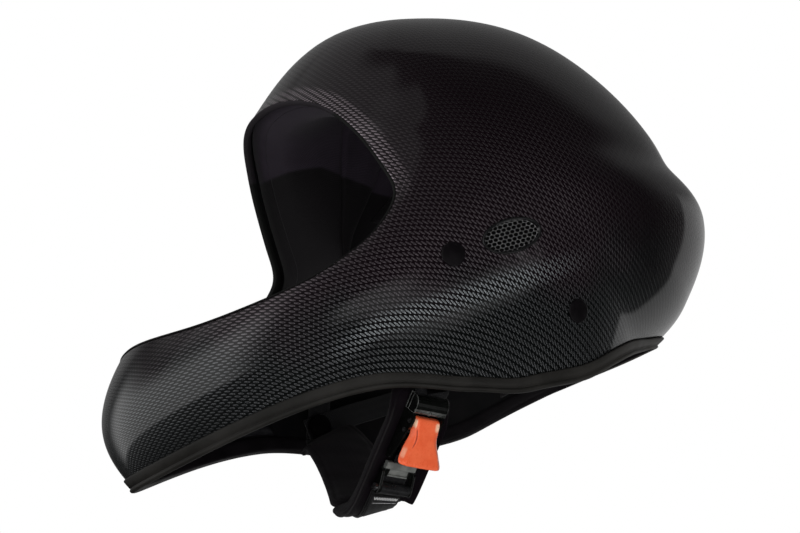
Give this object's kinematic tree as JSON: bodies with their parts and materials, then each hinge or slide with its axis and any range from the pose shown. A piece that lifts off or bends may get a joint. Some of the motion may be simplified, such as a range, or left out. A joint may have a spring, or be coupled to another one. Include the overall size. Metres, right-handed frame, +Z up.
{
  "type": "full-face free-flight helmet",
  "caption": "Full-face free-flight helmet with a smooth deep-tailed shell, open eye port, oval mesh ear vents, padded lining and a chin strap with a ratchet buckle.",
  "frame": {"origin": "centre of the wearer's head, midway between the ears and on the shell's plane of symmetry", "axes": "+Z up, -Y towards the face, +X towards the wearer's left, in the wearing position"},
  "size_m": [0.243, 0.3945, 0.2986],
  "materials": {
    "laminate": "black woven-look laminate under a glossy clear coat",
    "edge_rubber": "matt moulded rubber",
    "liner_foam": "beaded black foam",
    "lining_fabric": "dark grey-purple brushed fabric over foam",
    "vent_plastic": "satin black",
    "vent_mesh": "wire mesh with a dull grey face",
    "cap_plastic": "smooth black cap on a steel shank",
    "steel": "plain steel",
    "webbing": "flat woven webbing",
    "sleeve_fabric": "padded knit sleeve",
    "buckle_black": "polished black",
    "lever_orange": "satin orange moulding",
    "tongue_grey": "grey moulding"
  },
  "bodies": {
    "helmet": {"outer_shell": "laminate", "rim_trim": "edge_rubber", "port_trim": "edge_rubber", "head_liner": "liner_foam", "chin_liner": "liner_foam", "brow_pad": "lining_fabric", "crown_pad": "lining_fabric", "nape_pad": "lining_fabric", "neck_roll": "lining_fabric", "cheek_pad_left": "lining_fabric", "cheek_pad_right": "lining_fabric", "vent_frame_left": "vent_plastic", "vent_frame_right": "vent_plastic", "vent_mesh_left": "vent_mesh", "vent_mesh_right": "vent_mesh", "anchor_bolts": "cap_plastic", "anchor_nuts": "steel", "front_web_left": "webbing", "front_web_right": "webbing", "rear_web_left": "webbing", "rear_web_right": "webbing", "pivot_stud_left": "steel", "pivot_stud_right": "steel"},
    "chin_strap": {"strap_tab_left": "steel", "strap_tab_right": "steel", "buckle_web": "webbing", "chin_web": "webbing", "web_fold": "webbing", "left_sleeve": "sleeve_fabric", "right_sleeve": "sleeve_fabric", "buckle_frame": "buckle_black", "buckle_cover": "buckle_black", "lever_pin": "steel", "pawl_pin": "steel", "pawl_spring": "steel"},
    "buckle_lever": {"lever": "lever_orange"},
    "buckle_pawl": {"pawl": "steel"},
    "buckle_tongue": {"tongue": "tongue_grey", "tongue_end": "tongue_grey", "strap_bar": "buckle_black", "bar_pin": "steel"}
  },
  "joints": [
    {"name": "chin_strap_swing", "type": "hinge", "parent": "helmet", "child": "chin_strap", "pos_m": [0, -0.07, -0.096], "axis": [1, 0, 0], "range_deg": [-17, 35]},
    {"name": "lever_lift", "type": "hinge", "parent": "chin_strap", "child": "buckle_lever", "pos_m": [0.09031, -0.07901, -0.12798], "axis": [0.3095, -0.9228, 0.2294], "range_deg": [0, 40], "stiffness_Nm_per_rad": 0.02, "springref_deg": -11.46},
    {"name": "pawl_lift", "type": "hinge", "parent": "chin_strap", "child": "buckle_pawl", "pos_m": [0.08555, -0.08159, -0.13193], "axis": [0.3095, -0.9228, 0.2294], "range_deg": [0, 14], "deforming": ["pawl_spring"]},
    {"name": "tongue_slide", "type": "slide", "parent": "chin_strap", "child": "buckle_tongue", "axis": [-0.5384, -0.3689, -0.7577], "range_m": [0, 0.018], "deforming": ["chin_web", "web_fold", "left_sleeve"]}
  ],
  "couplings": [
    {"joint": "pawl_lift", "follows": "lever_lift", "ratio": 0.35}
  ]
}
